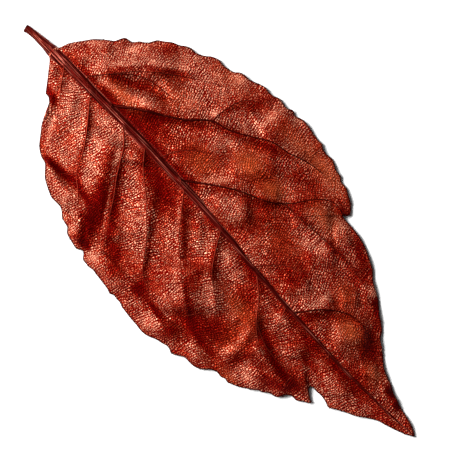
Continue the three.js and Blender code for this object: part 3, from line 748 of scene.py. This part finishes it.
def threadTree():
    # fine threads that leave the side veins and cross the skin between them
    tree, nodes, given = geometryTree("spreadCrossThreads", crossThreads, "blade")
    starts = nodes.node(
        "GeometryNodeCurveToPoints", {"Curve": given["Geometry"], "Length": given["spacing"]}, mode="LENGTH")
    tangent = starts.outputs["Tangent"]
    either = nodes.node("FunctionNodeRandomValue", {"Seed": given["seed"]}, data_type="BOOLEAN").outputs[3]
    toLeft = nodes.vector("CROSS_PRODUCT", (0, 0, 1), tangent)
    toRight = nodes.vector("CROSS_PRODUCT", tangent, (0, 0, 1))
    across = nodes.mix(either, toRight, toLeft, "VECTOR")
    share = nodes.random(given["shortest"], 1.0, nodes.plus(given["seed"], 1))
    line = nodes.node("GeometryNodeCurvePrimitiveLine", {"Start": (0, 0, 0), "End": (1, 0, 0)})
    bent = nodes.node("GeometryNodeResampleCurve", {"Curve": line, "Count": given["points"]}, mode="COUNT")
    placed = nodes.node("GeometryNodeInstanceOnPoints", {
        "Points": starts.outputs["Points"], "Instance": bent,
        "Rotation": nodes.node("FunctionNodeAlignRotationToVector", {"Vector": across}, axis="X"),
        "Scale": nodes.scaled((1, 1, 1), nodes.times(share, given["reach"]))})
    dark = nodes.random(0.2, 1.0, nodes.plus(given["seed"], 2))
    tinted = nodes.store(placed, "veinDark", dark, "INSTANCE")
    threads = nodes.node("GeometryNodeRealizeInstances", {0: tinted})

    cells = nodes.scaled(
        nodes.node("GeometryNodeInputPosition"), nodes.math("DIVIDE", 1.0, given["wanderSize"]))
    drift = nodes.vector("SUBTRACT", nodes.noise(cells, 1.0, 1.0)[1], (0.5, 0.5, 0.5))
    drift = nodes.vector("MULTIPLY", drift, (1, 1, 0))
    along = nodes.node("GeometryNodeSplineParameter").outputs["Factor"]
    drift = nodes.scaled(drift, nodes.times(given["wander"], along))
    strayed = nodes.node("GeometryNodeSetPosition", {"Geometry": threads, "Offset": drift})
    radius = nodes.times(nodes.times(given["thickness"], 0.5), narrowing(nodes, given["endShare"]))
    laid = layOnBlade(nodes, strayed, given["blade"], nodes.times(radius, given["sink"]))
    sized = nodes.node("GeometryNodeSetCurveRadius", {"Curve": laid, "Radius": radius})
    nodes.close(tubeAlong(nodes, sized, given["sides"]), given["material"])
    return tree


marginTeeth = dict(
    spacing=2.4, length=0.95, width=0.34, inset=0.3,
    flatness=0.55, lean=0.45,         # how thin they are, and how far they turn outwards
    sink=0.35, point=0.06, smallest=0.55, largest=1.15, sides=10, seed=7)


def toothTree():
    # small points along both margins that lean towards the tip
    tree, nodes, given = geometryTree("toothMargins", marginTeeth, "blade")
    straight = untilted(nodes, given["Geometry"], "outwards")
    spots = nodes.node(
        "GeometryNodeCurveToPoints", {"Curve": straight, "Length": given["spacing"]}, mode="LENGTH")
    tangent = spots.outputs["Tangent"]
    outwards = nodes.vector("CROSS_PRODUCT", (0, 0, 1), tangent)
    outwards = nodes.scaled(outwards, nodes.attribute("outwards"))
    heading = nodes.vector("ADD", tangent, nodes.scaled(outwards, given["lean"]))
    inside = nodes.scaled(outwards, nodes.times(given["inset"], -1.0))
    moved = nodes.node("GeometryNodeSetPosition", {"Geometry": spots.outputs["Points"], "Offset": inside})
    laid = layOnBlade(nodes, moved, given["blade"], nodes.times(given["width"], given["sink"]))
    cone = nodes.node("GeometryNodeMeshCone", {
        "Vertices": given["sides"], "Side Segments": 4, "Fill Segments": 1, "Radius Top": given["point"],
        "Radius Bottom": 0.5, "Depth": 1.0})
    turned = nodes.node("FunctionNodeAlignRotationToVector", {"Vector": heading}, axis="Z")
    inputs = {"Rotation": turned, "Vector": (0, 0, 1)}
    upright = nodes.node("FunctionNodeAlignRotationToVector", inputs, axis="Y", pivot_axis="Z")
    size = nodes.random(given["smallest"], given["largest"], given["seed"])
    extent = nodes.node("ShaderNodeCombineXYZ", {
        0: nodes.times(given["width"], size), 1: nodes.times(given["width"], given["flatness"]),
        2: nodes.times(given["length"], size)})
    placed = nodes.node("GeometryNodeInstanceOnPoints", {
        "Points": laid, "Instance": cone.outputs["Mesh"], "Rotation": upright, "Scale": extent})
    nodes.close(nodes.store(placed, "veinDark", 1.0, "INSTANCE"), given["material"])
    return tree


skin = dict(
    wander=1.6, wanderSize=3.4,         # the grain wanders, so that its cells never line up
    cellWidth=0.3, cellLength=0.5,      # the finest cells of the skin, along and across the side veins
    cellRounding=0.36, cellDepth=0.07,
    wrinkleSize=0.9, wrinkleDepth=0.15,
    strokeWidth=0.52, strokeLength=2.8, strokeDepth=0.1,
    strokeTurn=0.45, strokeSwing=2.2, swingSize=9.0,     # heading of the strokes, in radians
    strokeRange=(0.22, 0.64),
    forceSize=7.0, forceRange=(0.6, 1.2),                # weak strokes in places and strong ones in others
    blotchSize=5.0, speckleSize=1.5,
    middle=0.52, toneAndShadeGain=0.23, cellLightAndShadeGain=0.84, blotchGain=0.3, speckleGain=0.28,
    # the palette runs from painted crease shade through the red skin to painted highlights at its pale end
    colours=[
        (0.0, (0.042, 0.0002, 0.0001)), (0.25, (0.11, 0.0004, 0.0002)), (0.45, (0.19, 0.0015, 0.0006)),
        (0.62, (0.315, 0.015, 0.0045)), (0.8, (0.55, 0.096, 0.04)), (1.0, (0.86, 0.38, 0.235))],
    orange=(0.48, 0.075, 0.017),
    # the colour, reach and strength of the dark band of painted shade along the margin
    rimShade=(0.012, 0.0015, 0.001), rimShadeReach=(0.1, 0.42), rimShadeStrength=0.82,
    wood=[(0.36, (0.02, 0.0008, 0.0006)), (0.56, (0.08, 0.003, 0.002)), (0.7, (0.36, 0.09, 0.06))],
    striaeScale=(90.0, 4200.0, 900.0), striaeDepth=0.25,
    vein=(0.03, 0.0015, 0.001), paleVein=(0.26, 0.025, 0.012), mottleScale=1200.0,
    gloss=(1.0, 0.42, 0.3), roughness=0.4, specular=0.02, metallic=0.35,
)


def newMaterial(name):
    material = bpy.data.materials.new(name)
    material.use_nodes = True
    return material, TreeMaker(material.node_tree)


def rampOf(nodes, value, stops):
    ramp = nodes.node("ShaderNodeValToRGB", {0: value})
    elements = ramp.color_ramp.elements
    for element, (position, colour) in zip(elements, (stops[0], stops[-1])):
        element.position = position
        element.color = (*colour, 1)
    for position, colour in stops[1:-1]:
        elements.new(position).color = (*colour, 1)
    return ramp.outputs[0]


def finishMaterial(nodes, colour, relief, strength, distance):
    bump = nodes.node("ShaderNodeBump", {"Height": relief, "Strength": strength, "Distance": distance})
    shader = nodes.node("ShaderNodeBsdfPrincipled", {"Base Color": colour, "Normal": bump})
    shader.inputs["Roughness"].default_value = skin["roughness"]
    shader.inputs["Specular IOR Level"].default_value = skin["specular"]
    shader.inputs["Specular Tint"].default_value = (*skin["gloss"], 1)
    shader.inputs["Metallic"].default_value = skin["metallic"]
    nodes.node("ShaderNodeOutputMaterial", {"Surface": shader})


def strokePattern(nodes, uv, grain):
    # long strokes along the grain, whose heading swings from place to place: they raise the relief a little and
    # are painted pale as highlights
    swing = nodes.centred(nodes.noise(uv, skin["swingSize"])[0], skin["strokeSwing"])
    strokes = nodes.node("ShaderNodeTexGabor", {
        "Vector": grain, "Scale": 1 / skin["strokeLength"],
        "Frequency": skin["strokeLength"] / skin["strokeWidth"], "Anisotropy": 0.95,
        "Orientation": nodes.plus(swing, skin["strokeTurn"])}, gabor_type="2D")
    return nodes.remap(strokes.outputs["Value"], skin["strokeRange"])


def cellPattern(nodes, grain):
    # the rounded top of each cell of the finest net, and a number of its own for each cell
    cells = nodes.vector("MULTIPLY", grain, (1 / skin["cellWidth"], 1 / skin["cellLength"], 1))
    inputs = {"Vector": cells, "Scale": 1.0, "Randomness": 1.0}
    border = nodes.node(
        "ShaderNodeTexVoronoi", inputs, voronoi_dimensions="2D", feature="DISTANCE_TO_EDGE").outputs[0]
    cell = nodes.node("ShaderNodeTexVoronoi", inputs, voronoi_dimensions="2D", feature="F1")
    own = nodes.node("ShaderNodeSeparateColor", {0: cell.outputs["Color"]}).outputs[0]
    return nodes.remap(border, (0.0, skin["cellRounding"]), kind="SMOOTHERSTEP"), own


def skinMaterial():
    material, nodes = newMaterial("driedLeafSkin")
    uv = nodes.node("ShaderNodeUVMap", uv_map="grain").outputs[0]
    # the tone attribute brings in the skin's own tone together with painted shade and painted light
    toneAndShade, warmth, woody, edge = [
        nodes.node("ShaderNodeAttribute", attribute_name=name).outputs["Fac"]
        for name in ("toneAndShade", "warmth", "woody", "edgeDistance")]
    drift = nodes.vector("SUBTRACT", nodes.noise(uv, skin["wanderSize"])[1], (0.5, 0.5, 0.5))
    grain = nodes.vector("ADD", uv, nodes.scaled(drift, skin["wander"]))
    stroke = strokePattern(nodes, uv, grain)
    dome, own = cellPattern(nodes, grain)
    wrinkle = nodes.noise(nodes.vector("MULTIPLY", grain, (1.0, 0.4, 1.0)), skin["wrinkleSize"], 3.0, 0.6)[0]

    # colour runs from painted shade in the creases to painted highlights on the tops of the cells and along the
    # strokes, shifted by the skin's own blotches and speckles and by the tone
    blotch = nodes.noise(uv, skin["blotchSize"], 3.0, 0.55)[0]
    speckle = nodes.noise(uv, skin["speckleSize"])[0]
    force = nodes.remap(
        nodes.noise(uv, skin["forceSize"], 1.0)[0], (0.4, 0.6), skin["forceRange"], kind="LINEAR")
    # the strokes' painted highlights are stronger where the painted tone is paler
    contrast = nodes.times(force, nodes.plus(0.98, nodes.times(toneAndShade, 0.38)))
    # painted highlights: the rounded tops of the cells and the strokes are painted paler, and the creases
    # between them darker as painted shade
    top = nodes.times(dome, nodes.plus(0.8, nodes.times(own, 0.2)))
    top = nodes.times(top, nodes.plus(0.65, nodes.times(nodes.minus(stroke, 0.4), contrast)))
    spots = nodes.plus(
        nodes.centred(blotch, skin["blotchGain"]), nodes.centred(speckle, skin["speckleGain"]))
    shade = nodes.plus(nodes.centred(top, skin["cellLightAndShadeGain"]), spots)
    # the tone's painted shade and light move the colour along the palette
    shade = nodes.plus(nodes.plus(shade, skin["middle"]), nodes.times(toneAndShade, skin["toneAndShadeGain"]))
    colour = rampOf(nodes, shade, skin["colours"])
    orangeShare = nodes.times(warmth, nodes.times(shade, 1.1))
    colour = nodes.mix(orangeShare, colour, (*skin["orange"], 1), "RGBA")

    # the stalk and midrib are streaked along their length, and a dark band of painted shade runs along the
    # margin
    where = nodes.node("ShaderNodeTexCoord").outputs["Object"]
    striae = nodes.noise(nodes.vector("MULTIPLY", where, skin["striaeScale"]), 1.0)[0]
    colour = nodes.mix(woody, colour, rampOf(nodes, striae, skin["wood"]), "RGBA")
    # painted shade: a dark band along the margin
    ragged = nodes.plus(edge, nodes.centred(speckle, -0.5))
    rimShadeBand = nodes.remap(ragged, skin["rimShadeReach"], (skin["rimShadeStrength"], 0.0))
    colour = nodes.mix(rimShadeBand, colour, (*skin["rimShade"], 1), "RGBA")

    # relief in millimetres
    cellRelief = nodes.times(nodes.times(dome, nodes.plus(0.6, nodes.times(own, 0.4))), skin["cellDepth"])
    lineRelief = nodes.plus(
        nodes.times(wrinkle, skin["wrinkleDepth"]), nodes.times(stroke, skin["strokeDepth"]))
    relief = nodes.mix(woody, nodes.plus(cellRelief, lineRelief), nodes.times(striae, skin["striaeDepth"]))
    finishMaterial(nodes, colour, relief, 1.0, mm)
    return material


def veinMaterial():
    material, nodes = newMaterial("driedVein")
    # the veins are painted darker by their darkness value, partly their dried colour and partly painted shade
    dark = nodes.node("ShaderNodeAttribute", attribute_name="veinDark").outputs["Fac"]
    where = nodes.node("ShaderNodeTexCoord").outputs["Object"]
    mottle = nodes.noise(where, 1 / skin["mottleScale"], 3.0)[0]
    darkAndShaded = nodes.math("MULTIPLY", dark, nodes.plus(0.55, mottle), clamp=True)
    colour = nodes.mix(darkAndShaded, (*skin["paleVein"], 1), (*skin["vein"], 1), "RGBA")
    finishMaterial(nodes, colour, mottle, 0.8, 0.15 * mm)
    return material


print("laying the blade")
leafSkin, veinSkin = skinMaterial(), veinMaterial()
flatBlade = buildBlade()
veinPaths = pathCurve("veinPaths", sideVeins)

print("crumpling the skin")
leafBlade = growMesh("leafBlade", flatBlade, crumpleTree(), crumple, veinPaths=veinPaths, material=leafSkin)
bpy.data.objects.remove(flatBlade)
lowest = min(vertex.co.z for vertex in leafBlade.data.vertices)
for vertex in leafBlade.data.vertices:
    vertex.co.z += leafLow.z - lowest

print("growing the side veins and the threads between them")
onBlade = dict(blade=leafBlade, material=veinSkin)
sideVeinCords = growMesh("sideVeins", veinPaths, veinTree(), veins, **onBlade)
threads = growMesh("crossThreads", veinPaths, threadTree(), crossThreads, **onBlade)
bpy.data.objects.remove(veinPaths)

print("toothing the margins")
toothed = lambda margin: [point for point in margin if 12 < point[0] < 118]     # not the base nor the tip
marginPaths = pathCurve("marginPaths", [(toothed(leftMargin), 1, 1), (toothed(rightMargin), 1, -1)])
teeth = growMesh("marginTeeth", marginPaths, toothTree(), marginTeeth, **onBlade)
bpy.data.objects.remove(marginPaths)

for piece in (leafBlade, sideVeinCords, threads, teeth):
    print(piece.name, len(piece.data.vertices), "vertices")
    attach(piece, "root")
    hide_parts("leaf")


studio = dict(
    keyLight=dict(azimuth=203.0, height=48.0, distance=0.7, size=0.38, power=12.0),     # degrees, metres, watts
    overhead=dict(azimuth=60.0, height=75.0, distance=0.9, size=0.7, power=0.4),
    world=0.06, floorColour=(0.9, 0.9, 0.9), floorReach=2.0,
    aimX=61.2, aimY=0.4, aimZ=3.0, turn=46.38, coverage=99.0, lens=135.0, sensor=36.0)


def areaLight(name, azimuth, height, distance, size, power):
    light = bpy.data.lights.new(name, "AREA")
    light.size = size
    light.energy = power
    around, up = math.radians(azimuth), math.radians(height)
    heading = Vector((math.cos(around) * math.cos(up), math.sin(around) * math.cos(up), math.sin(up)))
    made = place(name, light)
    made.location = heading * distance
    made.rotation_euler = (-heading).to_track_quat("-Z", "Y").to_euler()


def layFloor():
    reach = studio["floorReach"]
    mesh = bpy.data.meshes.new("floor")
    mesh.from_pydata([(-reach, -reach, 0), (reach, -reach, 0), (reach, reach, 0), (-reach, reach, 0)], [],
                     [(0, 1, 2, 3)])
    paper = bpy.data.materials.new("palePaper")
    paper.use_nodes = True
    shader = paper.node_tree.nodes["Principled BSDF"]
    shader.inputs["Base Color"].default_value = (*studio["floorColour"], 1)
    shader.inputs["Roughness"].default_value = 0.9
    mesh.materials.append(paper)
    place("floor", mesh)


def aimCamera():
    camera = bpy.data.cameras.new("camera")
    camera.lens = studio["lens"]
    camera.sensor_width = studio["sensor"]
    camera.clip_start = 0.01
    camera.clip_end = 10
    made = place("camera", camera)
    aim = Vector(toRow(studio["aimX"], studio["aimY"], studio["aimZ"]))
    made.location = aim + Vector((0, 0, studio["coverage"] * mm * studio["lens"] / studio["sensor"]))
    made.rotation_euler = (0, 0, math.radians(studio["turn"]))
    scene.camera = made


print("setting the studio")
layFloor()
for lamp in ("keyLight", "overhead"):
    areaLight(lamp, **studio[lamp])
world = bpy.data.worlds.new("studio")
world.use_nodes = True
world.node_tree.nodes["Background"].inputs[0].default_value = (1, 1, 1, 1)
world.node_tree.nodes["Background"].inputs[1].default_value = studio["world"]
scene.world = world
aimCamera()
scene.view_settings.view_transform = "Standard"

print("finishing")
